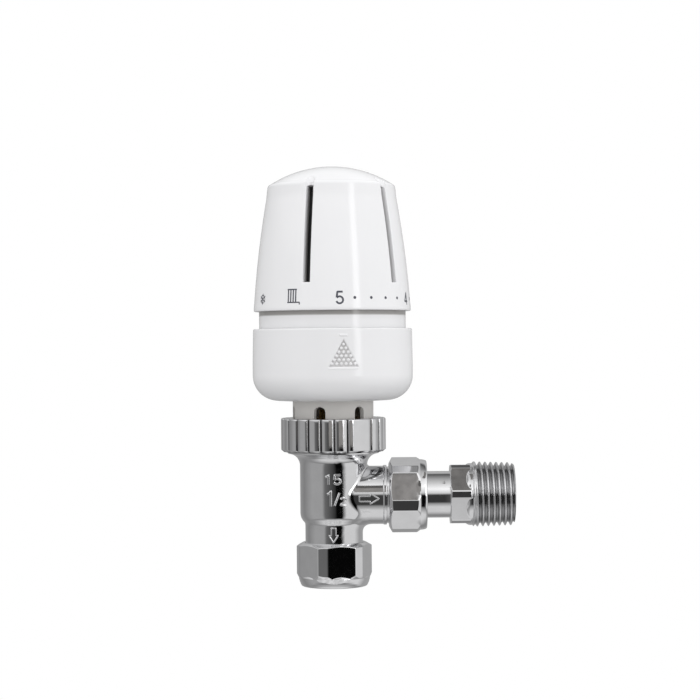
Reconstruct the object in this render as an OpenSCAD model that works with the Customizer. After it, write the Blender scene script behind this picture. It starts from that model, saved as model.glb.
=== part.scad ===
// Angle thermostatic radiator valve: sensing head with a setting dial on a 15 mm compression angle valve.
// Z is the valve axis, with z = 0 at the mouth of the inlet nut. X points along the outlet to the radiator.

/* [Valve body] */
// Bore for the pipe: the outside radius of a 15 mm pipe plus its clearance
pipe_r = 7.6; // [7.55:0.01:7.65]
// Height of the outlet axis
outlet_z = 29.5; // [29:0.1:30]
// Outside radius of the barrel
barrel_r = 11.0; // [10.8:0.05:11.3]
// Crest radius of the head connection thread, M30 x 1.5
boss_r = 14.95; // [14.9:0.01:15]
// Outside radius of the outlet neck
outlet_neck_r = 9.5; // [9.45:0.05:9.7]
// Outside radius of the neck above the inlet nut
lower_neck_r = 9.4; // [9.35:0.05:9.6]
// Top face of the head connection
boss_top = 52.0; // [51.8:0.1:52.2]
// Crest radius of the two compression threads
joint_thread_r = 9.45; // [9.4:0.01:9.48]
// Radius of the seat opening
seat_r = 5.0; // [4.8:0.1:5.1]
// Height of the seat lip
seat_z = 24.0; // [23.9:0.05:24.05]

/* [Nuts and tail] */
// Width across the flats of both compression nuts
nut_flats = 22.0; // [21.5:0.1:22.5]
// Height of the inlet nut
inlet_nut_h = 14.2; // [14:0.1:14.4]
// Width across the flats of the tail piece
tail_flats = 19.0; // [18.5:0.1:19.5]
// Crest radius of the tail thread, a half inch pipe thread
tail_thread_r = 10.4775; // [10.4:0.0005:10.5]
// Pitch of the tail thread
tail_pitch = 1.814; // [1.8:0.001:1.82]
// End of the tail piece
tail_end = 59.0; // [58:0.5:60]
// Outside radius of the ribbed head nut
head_nut_r = 17.2; // [17:0.1:17.4]
// Number of ribs around the head nut
rib_count = 24; // [24:6:36]

/* [Head] */
// Radius of the base collar
collar_r = 26.3; // [26:0.1:26.5]
// Top edge of the base collar
collar_top = 84.0; // [83.8:0.1:84.2]
// Outside radius of the guide ring
guide_r = 24.2; // [24.1:0.05:24.25]
// Lower edge of the dial cap at the rest setting
cap_bottom = 89.7; // [89.6:0.1:90]
// Top of the dial cap
cap_top = 137.0; // [136.9:0.1:137.2]
// Number of slots in the dial cap
slot_count = 5; // [3:1:6]
// Width of one slot
slot_w = 2.3; // [2:0.1:3]
// Outside radius of the mounting sleeve
sleeve_r = 13.2; // [13.1:0.05:13.3]
// Running clearance between turning plastic parts
turn_gap = 0.08; // [0.05:0.01:0.1]

/* [Hidden] */
$fn = 72;
eps = 0.01;
// the sockets, the waterways and the chamber
joint_gap = 5.8;
socket_top = 17.5;
waterway_r = 6.0;
chamber_r = 8.8;
chamber_floor = 22.9;
chamber_top = 41.3;
// the rounded shoulder under the barrel
shoulder_z = 23.2;
shoulder_r = 2.4;
bonnet_thread_r = 10.15;
nut_thread_r = joint_thread_r + 0.07;
// the outlet side, along X
union_start = 18.0;
union_end = 30.35;
outlet_end = union_end - joint_gap;
hex_start = 38.1;
thread_start = 44.9;
tail_start = 13.5;
tail_waterway_r = 6.0;
// the head, from the sleeve flange up
flange_top = 53.3;
sleeve_floor = 62.5;
core_r = 12.15;
core_top = 83.0;
guide_top = 90.6;
insert_bore_r = core_r + turn_gap;
basket_floor = 96.0;
basket_top = 128.0;
capsule_r = 9.6;
capsule_bottom = 91.0;
capsule_top = 121.0;
plunger_r = 2.9;
plunger_floor = 77.5;
// the spindle and its seals
rod_r = 2.0;
pin_r = 1.6;
pin_top = 61.2;
disc_bottom = 27.05;
holder_top = 31.0;
spring_floor = 35.3;
clip_bottom = 44.6;
slot_turn = -18.6;
slot_bottom = 98.6;
nut_turn = 11;
union_turn = 15.2;
hex_turn = -5;
window_turn = -18.5;
window_w = 3.6;
window_top = 58.7;
rib_turn = 1.7;
stop_gap = 0.3;
stop_width = 32;
dial_sweep = 294.4;
dial_up = 3.2;
// the flow arrow on the outlet: length, shaft, head length and head width
arrow_size = [7.0, 1.6, 3.1, 4.0];
arrow_raise = 0.3;
// the shells: cap wall, the deeper rim round each of its slots, basket wall
cap_wall = 1.8;
slot_rim_depth = 3.4;
slot_rim_w = 1.2;
slot_rim_low = 98.0;
slot_cut_top = 129.6;
dome_r = 37;
basket_low_r = 21.4;
basket_top_r = 17.6;
basket_wall = 1.5;
cap_inner_r = 24.3;
cap_low_r = 25.7;
// turned thread grooves: pitch and depth of the metric threads
fine_pitch = 1.5;
fine_depth = 0.7;

// points of an arc about [r, z], with both ends
function arc(r, z, radius, from, to, steps = 8) =
    [for (i = [0:steps]) let (a = from + (to - from) * i / steps)
     [r + radius * cos(a), z + radius * sin(a)]];

// points of a side that bulges outward between two ends, with both ends
function bulged(p, q, bulge, steps = 8) =
    [for (i = [0:steps]) let (t = i / steps) [p[0] + (q[0] - p[0]) * t + 4 * bulge * t * (1 - t),
                                              p[1] + (q[1] - p[1]) * t]];

module turned(points) { rotate_extrude() polygon(points); }

module tube(r_out, r_in, z0, z1) {
    turned([[r_in, z0], [r_out, z0], [r_out, z1], [r_in, z1]]);
}

// a part that is turned about X in place of Z: its z becomes x
module along_outlet() { translate([0, 0, outlet_z]) rotate([0, 90, 0]) children(); }

module hexagon(flats, z0, z1) {
    translate([0, 0, z0]) rotate([0, 0, 30]) cylinder(h = z1 - z0, r = flats / sqrt(3), $fn = 6);
}

// ring grooves that leave narrow crests, as a thread does
module thread_grooves(crest_r, z0, z1, pitch, depth) {
    for (z = [z0 + pitch / 2 : pitch : z1 - pitch / 2 + eps])
        turned([[crest_r - depth, z - 0.1 * pitch], [crest_r + 1, z - 0.4 * pitch - 0.5],
                [crest_r + 1, z + 0.4 * pitch + 0.5], [crest_r - depth, z + 0.1 * pitch]]);
}

// a round wire wound about Z
module coil(mean_r, wire_r, z0, z1, turns, sides = 8, per_turn = 20) {
    rings = turns * per_turn;
    points = [for (i = [0:rings]) let (a = 360 * i / per_turn, z = z0 + (z1 - z0) * i / rings)
              for (j = [0:sides - 1]) let (b = 360 * j / sides, r = mean_r + wire_r * cos(b))
              [r * cos(a), r * sin(a), z + wire_r * sin(b)]];
    walls = [for (i = [0:rings - 1]) for (j = [0:sides - 1]) let (k = (j + 1) % sides)
             [i * sides + j, i * sides + k, (i + 1) * sides + k, (i + 1) * sides + j]];
    first = [for (j = [sides - 1:-1:0]) j];
    last = [for (j = [0:sides - 1]) rings * sides + j];
    polyhedron(points, concat(walls, [first, last]));
}

module o_ring(mean_r, section_r, z) {
    translate([0, 0, z]) rotate_extrude() translate([mean_r, 0]) circle(section_r, $fn = 32);
}

// the flow arrow, lying in the XY plane and pointing along +X
module arrow() {
    length = arrow_size[0];
    neck = length - arrow_size[2];
    shaft = arrow_size[1] / 2;
    wide = arrow_size[3] / 2;
    linear_extrude(20)
        polygon([[0, -shaft], [neck, -shaft], [neck, -wide], [length, 0],
                 [neck, wide], [neck, shaft], [0, shaft]]);
}

module valve_body() {
    color("silver") difference() {
        union() {
            turned(concat([[0, joint_gap], [joint_thread_r - 0.4, joint_gap],
                           [joint_thread_r, joint_gap + 0.4], [joint_thread_r, 13.4],
                           [lower_neck_r, 14.0], [lower_neck_r, shoulder_z - 3.1], [9.6, shoulder_z - 2.7]],
                          arc(barrel_r - shoulder_r, shoulder_z, shoulder_r, -60, 0, 6),
                          [[barrel_r, 39.5]],
                          arc(15.0, 39.3, 4.0, 180, 93, 6),
                          [[boss_r, 43.5], [boss_r, boss_top - 0.8],
                           [boss_r - 0.8, boss_top], [0, boss_top]]));
            along_outlet() turned([[0, 0], [outlet_neck_r, 0], [outlet_neck_r, 16.2], [9.74, 16.2],
                                   [9.74, 17.3], [9.2, 17.3], [joint_thread_r, 17.9],
                                   [joint_thread_r, outlet_end - 0.4],
                                   [joint_thread_r - 0.4, outlet_end], [0, outlet_end]]);
            intersection() {
                translate([11.8, 0, outlet_z + 1.2]) rotate([90, 0, 0]) arrow();
                along_outlet() tube(outlet_neck_r + arrow_raise, outlet_neck_r - 0.5, 11.5, 19);
            }
        }
        translate([0, 0, 5]) cylinder(h = socket_top - 5, r = pipe_r);
        turned([[0, joint_gap - 0.1], [8.8, joint_gap - 0.1],
                [pipe_r, joint_gap + 2.2], [0, joint_gap + 2.2]]);
        translate([0, 0, socket_top - eps]) cylinder(h = seat_z - socket_top + 1, r = seat_r);
        tube(chamber_r, seat_r + 1, chamber_floor, chamber_floor + 2);
        translate([0, 0, seat_z]) cylinder(h = chamber_top - seat_z + eps, r = chamber_r);
        translate([0, 0, chamber_top]) cylinder(h = 20, r = bonnet_thread_r + 0.05);
        along_outlet() {
            cylinder(h = 13, r = waterway_r);
            translate([0, 0, 12.5]) cylinder(h = 20, r = pipe_r + 0.06);
            turned([[0, outlet_end - 2.2], [pipe_r + 0.06, outlet_end - 2.2], [8.8, outlet_end + 0.1],
                    [0, outlet_end + 0.1]]);
            thread_grooves(joint_thread_r, 17.9, outlet_end - 0.5, fine_pitch, fine_depth);
        }
        thread_grooves(joint_thread_r, 6.4, 13.2, fine_pitch, fine_depth);
        thread_grooves(boss_r, 44.4, 51.2, fine_pitch, fine_depth + 0.1);
    }
}

// a compression nut along Z, with its mouth at z = 0
module joint_nut(hole_r, height, collar_h, taper_h) {
    difference() {
        intersection() {
            hexagon(nut_flats, 0, height);
            turned(concat([[0, 0], [11.1, 0], [11.55, 0.45], [11.55, collar_h]],
                          [[11.9, collar_h + 0.3], [nut_flats / sqrt(3), taper_h],
                           [nut_flats / sqrt(3), height - 1.5], [10.1, height], [0, height]]));
        }
        translate([0, 0, -1]) cylinder(h = height, r = hole_r);
        turned([[0, 3.0], [hole_r, 3.0], [nut_thread_r, 4.9],
                [nut_thread_r, height + 1], [0, height + 1]]);
    }
    difference() {
        tube(11.55, hole_r, 0, collar_h);
        turned([[11.0, -1], [13, -1], [13, 0.45], [11.55, 0.45], [11.1, 0], [11.0, 0]]);
    }
}

module compression_nut() {
    color("lightgray") rotate([0, 0, nut_turn - 90]) joint_nut(pipe_r, inlet_nut_h, 2.0, 4.9);
}

module olive_ring(bore_r) {
    turned([[bore_r, 3.25], [bore_r + 0.12, 3.25], [8.85, 4.7],
            [8.85, 5.2], [bore_r + 0.12, 7.6], [bore_r, 7.6]]);
}

module inlet_olive() { color("goldenrod") olive_ring(pipe_r); }

module union_nut() {
    color("lightgray") translate([0, 0, outlet_z]) rotate([0, -90, 0]) rotate([0, 0, union_turn - 90])
        translate([0, 0, -union_end]) joint_nut(pipe_r + 0.08, union_end - union_start, 2.05, 3.75);
}

module tail_olive() {
    color("goldenrod") translate([union_end, 0, outlet_z]) rotate([0, -90, 0]) olive_ring(pipe_r);
}

module tail_piece() {
    color("lightgray") difference() {
        along_outlet() union() {
            translate([0, 0, tail_start]) cylinder(h = hex_start - tail_start + 1, r = pipe_r);
            intersection() {
                rotate([0, 0, hex_turn]) hexagon(tail_flats, hex_start, thread_start);
                turned([[0, hex_start], [10.3, hex_start], [10.97, hex_start + 0.4],
                        [10.97, thread_start - 1.3], [10.2, thread_start - 0.5], [0, thread_start - 0.5]]);
            }
            turned([[0, thread_start - 1.9], [9.5, thread_start - 1.9], [10.1, thread_start - 0.9],
                    [10.1, thread_start + 0.6], [tail_thread_r, thread_start + 1.1],
                    [tail_thread_r, tail_end - 0.8],
                    [tail_thread_r - 0.9, tail_end], [0, tail_end]]);
        }
        along_outlet() {
            translate([0, 0, tail_start - 1]) cylinder(h = tail_end - tail_start + 2, r = tail_waterway_r);
            thread_grooves(tail_thread_r, thread_start + 0.9, tail_end - 0.6, tail_pitch, 1.1);
        }
    }
}

module bonnet() {
    color("darkkhaki") difference() {
        union() {
            translate([0, 0, 34]) cylinder(h = 7.6, r = chamber_r - 0.06);
            translate([0, 0, 41.5]) cylinder(h = 9.0, r = bonnet_thread_r);
            hexagon(17, 50.4, 55);
        }
        translate([0, 0, 33]) cylinder(h = 13, r = 4.6);
        translate([0, 0, 45]) cylinder(h = 8, r = rod_r + 0.06);
        translate([0, 0, 50.2]) cylinder(h = 8, r = 3.45);
        tube(20, 7.3, 36.4, 38.0);
        thread_grooves(bonnet_thread_r, 42, 49.6, fine_pitch, fine_depth);
    }
}

module bonnet_o_ring() { color("black") o_ring(8.05, 0.72, 37.2); }

module gland_nut() {
    color("darkkhaki") difference() {
        union() {
            translate([0, 0, 52]) cylinder(h = 3.1, r = 3.4);
            hexagon(9, 55, 57.5);
        }
        translate([0, 0, 50]) cylinder(h = 10, r = pin_r + 0.06);
    }
}

module spindle_o_ring() { color("black") o_ring(2.53, 0.89, 51.1); }

module spring_seat() { color("darkkhaki") tube(4.6, rod_r + 0.06, 34.0, spring_floor); }

module return_spring() { color("gray") coil(3.2, 0.4, spring_floor + 0.42, clip_bottom - 0.42, 5.5); }

module spindle() {
    color("silver") {
        translate([0, 0, 25.2]) cylinder(h = holder_top - 25.2 + eps, r = 1.5);
        translate([0, 0, holder_top]) cylinder(h = 49.5 - holder_top, r = rod_r);
        turned([[0, 49.4], [pin_r, 49.4], [pin_r, pin_top - 0.4], [pin_r - 0.4, pin_top], [0, pin_top]]);
    }
}

module spindle_clip() { color("gray") tube(4.2, rod_r, clip_bottom, clip_bottom + 0.8); }

module disc_holder() {
    color("darkkhaki") difference() {
        tube(7.4, 1.5, disc_bottom + 0.6, holder_top);
        translate([0, 0, disc_bottom - 1]) cylinder(h = 3.2, r = 6.6);
    }
}

module valve_disc() { color("black") tube(6.6, 1.5, disc_bottom, disc_bottom + 2.2); }

module disc_nut() {
    color("darkkhaki") difference() {
        hexagon(5.5, 25.2, disc_bottom);
        translate([0, 0, 20]) cylinder(h = 10, r = 1.5);
    }
}

module head_nut() {
    color("silver") difference() {
        turned([[15.03, 43.9], [head_nut_r - 0.6, 43.9], [head_nut_r, 44.5], [head_nut_r, 54.4],
                [head_nut_r - 0.5, 54.9], [13.4, 54.9], [13.4, 53.4], [15.03, 53.4]]);
        for (i = [0:rib_count - 1]) rotate([0, 0, rib_turn + 360 * i / rib_count - 90])
            translate([head_nut_r + 0.35, 0, 43]) cylinder(h = 13, r = 0.8, $fn = 24);
    }
}

// an arched window through the sleeve wall, on +X
module window() {
    low = flange_top + 0.4;
    arch = window_top - window_w / 2;
    translate([10, -window_w / 2, low]) cube([5, window_w, arch - low]);
    translate([10, 0, arch]) rotate([0, 90, 0]) cylinder(h = 5, d = window_w);
}

module mounting_sleeve() {
    color("gainsboro") difference() {
        turned([[11.6, boss_top], [14.8, boss_top], [14.8, flange_top], [sleeve_r, flange_top],
                [sleeve_r, sleeve_floor], [20.6, sleeve_floor], [20.6, 64.0], [core_r, 64.0],
                [core_r, core_top], [10.0, core_top], [10.0, 70.0], [plunger_r + 0.06, 70.0],
                [plunger_r + 0.06, 66.5], [10.0, 66.5], [11.6, 64.9]]);
        for (i = [0:5]) rotate([0, 0, window_turn + 60 * i - 90]) window();
        thread_grooves(core_r, 66, 82, 3.0, 0.8);
    }
}

module base_collar() {
    color("whitesmoke") turned(concat(
        [[13.3, 60.55], [16.0, 60.55]], arc(18.0, 68.85, 8.3, -90, 0, 12),
        [[collar_r, 73.0], [collar_r - 0.2, collar_top - 0.4], [collar_r - 0.6, collar_top],
         [guide_r + 0.15, collar_top], [guide_r + 0.15, 68.0],
         [22.0, 64.1], [21.0, 62.45], [13.3, 62.45]]));
}

// the fixed stop stands inside the guide ring, and the moving one hangs under the insert
module stop_sector(r0, r1, z0, z1, middle, width) {
    translate([0, 0, z0]) rotate([0, 0, middle - width / 2 - 90])
        rotate_extrude(angle = width) translate([r0, 0]) square([r1 - r0, z1 - z0]);
}

module guide_ring() {
    fixed_width = 360 - dial_sweep - stop_width - stop_gap * 2;
    color("gainsboro") {
        turned([[14.6, 64.05], [20.8, 64.05], [21.5, 64.4], [guide_r, 68.4], [guide_r, guide_top - 0.4],
                [guide_r - 0.4, guide_top], [22.6, guide_top], [22.6, 69.0], [20.2, 65.4], [14.6, 65.4]]);
        stop_sector(17.5, 22.8, 65.3, 79, 0, fixed_width);
    }
}

module push_plunger() {
    color("dimgray")
        turned([[0, pin_top + 0.05], [plunger_r, pin_top + 0.05], [plunger_r, 76.0], [7.0, 76.0],
                [7.0, 86.0], [6.0, 86.0], [6.0, plunger_floor], [0, plunger_floor]]);
}

module overtravel_spring() {
    color("gray") coil(4.9, 0.45, plunger_floor + 0.47, capsule_bottom - 0.47, 6);
}

module sensor_piston() {
    color("silver") translate([0, 0, 79.6]) cylinder(h = capsule_bottom - 79.6, r = 2.0);
}

module sensor_capsule() {
    color("peru") turned([[0, capsule_bottom], [8.4, capsule_bottom], [capsule_r, capsule_bottom + 1.0],
                          [capsule_r, capsule_top - 12], [capsule_r - 0.8, capsule_top - 11.2],
                          [capsule_r - 0.8, capsule_top - 9.2], [capsule_r, capsule_top - 8.4],
                          [capsule_r, capsule_top - 1.5], [7.5, capsule_top], [0, capsule_top]]);
}

// outside of the dial cap at height z, before the shoulder
function cap_side(inset) = bulged([25.45 - inset, 93.4], [21.35 - inset, 126.2], 0.42, 8);

module dial_insert() {
    // angle of the moving stop: it meets the fixed one at both ends of the sweep
    moving = 180 + (dial_sweep / 2 - dial_up);
    color("black") difference() {
        union() {
            turned([[insert_bore_r, 69.6], [14.0, 69.6], [14.0, basket_floor], [23.1, basket_floor],
                    [23.1, 97.6], [basket_low_r, 97.6], [basket_top_r, basket_top - 1.6],
                    [basket_top_r, basket_top], [11.4, basket_top],
                    [11.4, basket_top - basket_wall],
                    [basket_top_r - basket_wall, basket_top - basket_wall],
                    [basket_low_r - basket_wall, 97.6],
                    [11.4, 97.6], [11.4, capsule_top + 2], [capsule_r + turn_gap, capsule_top + 2],
                    [capsule_r + turn_gap, capsule_bottom - 0.05], [8.6, capsule_bottom - 0.05],
                    [8.6, capsule_bottom - 1.2], [insert_bore_r, capsule_bottom - 1.2]]);
            stop_sector(13.9, 20.0, 70.8, 78, moving, stop_width);
        }
        for (i = [0:slot_count - 1]) rotate([0, 0, slot_turn + 360 * (i + 0.5) / slot_count - 90])
            translate([15, -4, 100]) cube([10, 8, 24]);
    }
}

module sensor_retainer() {
    color("gray") tube(capsule_r + turn_gap, 7.0, capsule_top + 0.1, capsule_top + 0.9);
}

// the inside of the cap's wall, from its top down to the basket floor
function cap_inside(depth) = let (side = cap_side(depth))
    [for (i = [len(side) - 1:-1:0]) if (side[i][1] > basket_floor + 1) side[i]];

module dial_cap() {
    rim = slot_w / 2 + slot_rim_w;
    color("white") difference() {
        union() {
            turned(concat(
                [[cap_inner_r, cap_bottom], [cap_low_r - 0.2, cap_bottom],
                 [cap_low_r, cap_bottom + 0.2], [cap_low_r, cap_bottom + 0.8]],
                cap_side(0), [[20.85, 128.1]], arc(19.2, 129.5, 1.35, 0, 60, 4),
                arc(0, cap_top - dome_r, dome_r, 58, 90, 8),
                [[0, cap_top - 2], [17.0, 130.3], [19.2, 128.6]], cap_inside(cap_wall),
                [[23.8, basket_floor + 0.4], [cap_inner_r, basket_floor - 0.4]]));
            intersection() {
                turned([[25.0 - slot_rim_depth, slot_rim_low], [24.6, slot_rim_low], [20.3, 129.0],
                        [20.9 - slot_rim_depth, 129.0], [21.3 - slot_rim_depth, 126.4]]);
                for (i = [0:slot_count - 1]) rotate([0, 0, slot_turn + 360 * i / slot_count - 90])
                    translate([15, -rim, slot_rim_low]) cube([12, 2 * rim, 34]);
            }
        }
        for (i = [0:slot_count - 1]) rotate([0, 0, slot_turn + 360 * i / slot_count - 90])
            translate([15, -slot_w / 2, slot_bottom]) cube([14, slot_w, slot_cut_top - slot_bottom]);
        for (i = [0:slot_count - 1]) rotate([0, 0, slot_turn + 360 * i / slot_count - 90])
            translate([17.8, -slot_w / 2, slot_cut_top - 1]) cube([12, slot_w, 5]);
    }
}

valve_body();
compression_nut();
inlet_olive();
union_nut();
tail_olive();
tail_piece();
bonnet();
bonnet_o_ring();
gland_nut();
spindle_o_ring();
spring_seat();
return_spring();
spindle();
spindle_clip();
disc_holder();
valve_disc();
disc_nut();
head_nut();
mounting_sleeve();
base_collar();
guide_ring();
push_plunger();
overtravel_spring();
sensor_piston();
sensor_capsule();
dial_insert();
sensor_retainer();
dial_cap();
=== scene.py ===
"""Angle thermostatic radiator valve: the looks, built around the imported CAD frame.

Lengths are millimetres until a mesh or a material is made, and angles are degrees. Azimuth 0 faces the
camera side (-Y) and grows towards the outlet (+X).
"""

import math

import bmesh
import bpy
import numpy as np
from mathutils import Euler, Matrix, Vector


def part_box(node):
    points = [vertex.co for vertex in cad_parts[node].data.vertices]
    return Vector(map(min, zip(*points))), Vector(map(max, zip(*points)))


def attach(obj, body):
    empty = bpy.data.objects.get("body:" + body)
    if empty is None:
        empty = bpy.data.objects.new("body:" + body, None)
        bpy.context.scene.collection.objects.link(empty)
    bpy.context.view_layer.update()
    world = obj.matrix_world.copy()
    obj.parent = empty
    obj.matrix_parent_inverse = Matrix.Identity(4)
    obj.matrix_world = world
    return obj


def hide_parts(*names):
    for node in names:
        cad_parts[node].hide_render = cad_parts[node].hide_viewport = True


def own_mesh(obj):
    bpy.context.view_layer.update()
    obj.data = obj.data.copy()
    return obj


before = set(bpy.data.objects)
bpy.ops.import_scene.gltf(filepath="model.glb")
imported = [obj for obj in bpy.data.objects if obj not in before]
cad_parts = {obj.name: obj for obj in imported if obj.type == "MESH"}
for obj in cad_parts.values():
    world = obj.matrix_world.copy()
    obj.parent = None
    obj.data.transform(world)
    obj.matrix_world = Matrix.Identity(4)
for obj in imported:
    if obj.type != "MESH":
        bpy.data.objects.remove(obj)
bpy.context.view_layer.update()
MM = 0.001


def node_box(node):
    """Lowest and highest corner of a CAD node, in millimetres."""
    low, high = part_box(node)
    return np.array(low) / MM, np.array(high) / MM


# ---------------- sizes

CAP_LOW, CAP_HIGH = node_box("dial_cap")
COLLAR_LOW, COLLAR_HIGH = node_box("base_collar")
RING_LOW, RING_HIGH = node_box("guide_ring")
NUT_LOW, NUT_HIGH = node_box("compression_nut")
UNION_LOW, UNION_HIGH = node_box("union_nut")
TAIL_LOW, TAIL_HIGH = node_box("tail_piece")
HEAD_NUT_LOW, HEAD_NUT_HIGH = node_box("head_nut")
BODY_HIGH = node_box("valve_body")[1]

OUTLET_Z = (UNION_LOW[2] + UNION_HIGH[2]) / 2
PIPE_R = 7.6
SLOT_COUNT, SLOT_TURN, SLOT_W = 5, -18.6, 2.3
SLOT_LOW, SLOT_HIGH = 98.6, 129.7
POINTER_TURN = 8.2
NUT_TURN, UNION_TURN, TAIL_TURN = 11.0, 15.2, -25.0


# ---------------- profiles and meshes

def bow(cx, cy, rx, ry, start, end, steps=10):
    """Points of a round or oval arc, both ends included."""
    turns = np.radians(np.linspace(start, end, steps + 1))
    return [(cx + rx * math.cos(t), cy + ry * math.sin(t)) for t in turns]


def rounded(corners, steps=4, closed=True):
    """Profile from (r, z, fillet) corners, each turned into an arc of that radius."""
    out = []
    count = len(corners)
    for i, (x, y, fillet) in enumerate(corners):
        here = np.array([x, y], float)
        if fillet <= 0 or (not closed and i in (0, count - 1)):
            out.append(here)
            continue
        before = np.array(corners[i - 1][:2], float) - here
        after = np.array(corners[(i + 1) % count][:2], float) - here
        length_a, length_b = np.linalg.norm(before), np.linalg.norm(after)
        before, after = before / length_a, after / length_b
        half = math.acos(max(-1.0, min(1.0, float(before @ after)))) / 2
        reach = min(fillet / math.tan(half), 0.49 * length_a, 0.49 * length_b)
        radius = reach * math.tan(half)
        middle = here + (before + after) / np.linalg.norm(before + after) * radius / math.sin(half)
        first, last = here + before * reach - middle, here + after * reach - middle
        a0, a1 = math.atan2(first[1], first[0]), math.atan2(last[1], last[0])
        sweep = (a1 - a0 + math.pi) % (2 * math.pi) - math.pi
        for k in range(steps + 1):
            a = a0 + sweep * k / steps
            out.append(middle + radius * np.array([math.cos(a), math.sin(a)]))
    return np.array(out)


def subdivided(points, longest, closed=True):
    """The same outline with extra points, so that no step is longer than asked."""
    out = []
    count = len(points)
    for i in range(count if closed else count - 1):
        a, b = points[i], points[(i + 1) % count]
        steps = max(1, math.ceil(np.linalg.norm(b - a) / longest))
        out += [a + (b - a) * k / steps for k in range(steps)]
    if not closed:
        out.append(points[-1])
    return np.array(out)


def polar(radius, azimuth, height):
    """Points at a radius, an azimuth in degrees and a height."""
    a = np.radians(azimuth)
    return np.stack(np.broadcast_arrays(radius * np.sin(a), -radius * np.cos(a), height), axis=-1)


def along_x(points):
    """Turns points made about Z into points about the outlet axis: height becomes X."""
    x, y, z = points[..., 0], points[..., 1], points[..., 2]
    return np.stack([z, y, OUTLET_Z + x], axis=-1)


def grid_faces(rows, cols, closed_rows=True, holes=()):
    """Quads of a grid whose columns close up. A hole is (row0, row1, col0, col1), left out."""
    faces = []
    last = rows if closed_rows else rows - 1
    for i in range(last):
        for j in range(cols):
            if any(r0 <= i < r1 and c0 <= j < c1 for r0, r1, c0, c1 in holes):
                continue
            k, m = (i + 1) % rows, (j + 1) % cols
            faces.append((i * cols + j, i * cols + m, k * cols + m, k * cols + j))
    return faces


def end_faces(rows, cols):
    """The faces that close both ends of a tube's grid."""
    return [tuple(range(cols - 1, -1, -1)), tuple((rows - 1) * cols + k for k in range(cols))]


def bridge(outer, inner, cols):
    """Walls between two hole outlines in one grid: outer and inner are (row0, row1, col0, col1).
    The inner rows run the other way, because the profile has turned back."""
    r0, r1, c0, c1 = outer
    last = inner[1]
    loop = [(r0, c) for c in range(c0, c1)] + [(r, c1) for r in range(r0, r1)]
    loop += [(r1, c) for c in range(c1, c0, -1)] + [(r, c0) for r in range(r1, r0, -1)]
    faces = []
    for (ra, ca), (rb, cb) in zip(loop, loop[1:] + loop[:1]):
        ia, ib = last - (ra - r0), last - (rb - r0)
        faces.append((ra * cols + ca, ia * cols + ca, ib * cols + cb, rb * cols + cb))
    return faces


def pierced_faces(rows, cols, repeats, front, back, depth, row_span, col_span):
    """Faces of a shell's grid with openings through both its walls, the same in every repeat. The outer
    wall's rows start at front and the inner wall's at back, depth is their number."""
    low, high = row_span
    holes, walls = [], []
    for start in range(0, cols, cols // repeats):
        across = (start + col_span[0], start + col_span[1])
        outer = (front + low, front + high, *across)
        inner = (back + depth - 1 - high, back + depth - 1 - low, *across)
        holes += [outer, inner]
        walls += bridge(outer, inner, cols)
    return grid_faces(rows, cols, holes=holes) + walls


def make_object(name, points, faces, body, material, replaces=(), sharp=50):
    """One finished piece: points in millimetres, shaded smooth, riding on its CAD body. Without faces the
    points are a grid that closes both ways."""
    if faces is None:
        faces = grid_faces(*points.shape[:2])
    mesh = bpy.data.meshes.new(name)
    flat = np.asarray(points, float).reshape(-1, 3) * MM
    mesh.from_pydata(flat.tolist(), [], [list(f) for f in faces])
    work = bmesh.new()
    work.from_mesh(mesh)
    bmesh.ops.remove_doubles(work, verts=work.verts, dist=1e-7)
    bmesh.ops.recalc_face_normals(work, faces=work.faces)
    work.to_mesh(mesh)
    work.free()
    mesh.shade_smooth()
    mesh.set_sharp_from_angle(angle=math.radians(sharp))
    obj = bpy.data.objects.new(name, mesh)
    bpy.context.scene.collection.objects.link(obj)
    obj.data.materials.append(material)
    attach(obj, body)
    if replaces:
        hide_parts(*replaces)
    weighted = obj.modifiers.new("weighted", "WEIGHTED_NORMAL")
    weighted.keep_sharp = True
    return obj


# ---------------- materials

class Nodes:
    """Short ways to add nodes to a tree. Every input takes a value or another node's output."""

    def __init__(self, tree):
        self.tree = tree

    def feed(self, node, inputs):
        for key, value in inputs.items():
            if isinstance(value, bpy.types.NodeSocket):
                self.tree.links.new(value, node.inputs[key])
            else:
                node.inputs[key].default_value = value
        return node

    def add(self, kind, inputs=None, **settings):
        node = self.tree.nodes.new("ShaderNode" + kind)
        for name, value in settings.items():
            setattr(node, name, value)
        return self.feed(node, inputs or {})

    def math(self, operation, *values):
        return self.add("Math", dict(enumerate(values)), operation=operation).outputs[0]

    def split(self, vector):
        return self.add("SeparateXYZ", {0: vector}).outputs

    def noise(self, place, scale, detail=3.0, rough=0.55):
        inputs = {"Vector": place, "Scale": scale, "Detail": detail, "Roughness": rough}
        return self.add("TexNoise", inputs).outputs["Fac"]

    def ranged(self, value, low, high, start=0.3, end=0.7, **settings):
        """low where the value is at start, high where it is at end."""
        inputs = {"Value": value, "From Min": start, "From Max": end, "To Min": low, "To Max": high}
        return self.add("MapRange", inputs, **settings).outputs["Result"]

    def ramp(self, value, stops):
        """Colours along a value, from (position, colour) stops."""
        node = self.add("ValToRGB", {"Fac": value})
        elements = node.color_ramp.elements
        while len(elements) < len(stops):
            elements.new(1.0)
        for element, (position, color) in zip(elements, stops):
            element.position = position
            element.color = (*color, 1)
        return node.outputs["Color"]

    def bump(self, shader, *layers):
        """Layers are (height, distance in metres, strength), laid one on the other."""
        normal = {}
        for height, distance, strength in layers:
            inputs = {"Height": height, "Distance": distance, "Strength": strength, **normal}
            normal = {"Normal": self.add("Bump", inputs).outputs["Normal"]}
        self.feed(shader, normal)


def find_node(material, kind):
    return next(n for n in material.node_tree.nodes if n.type == kind)


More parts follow.
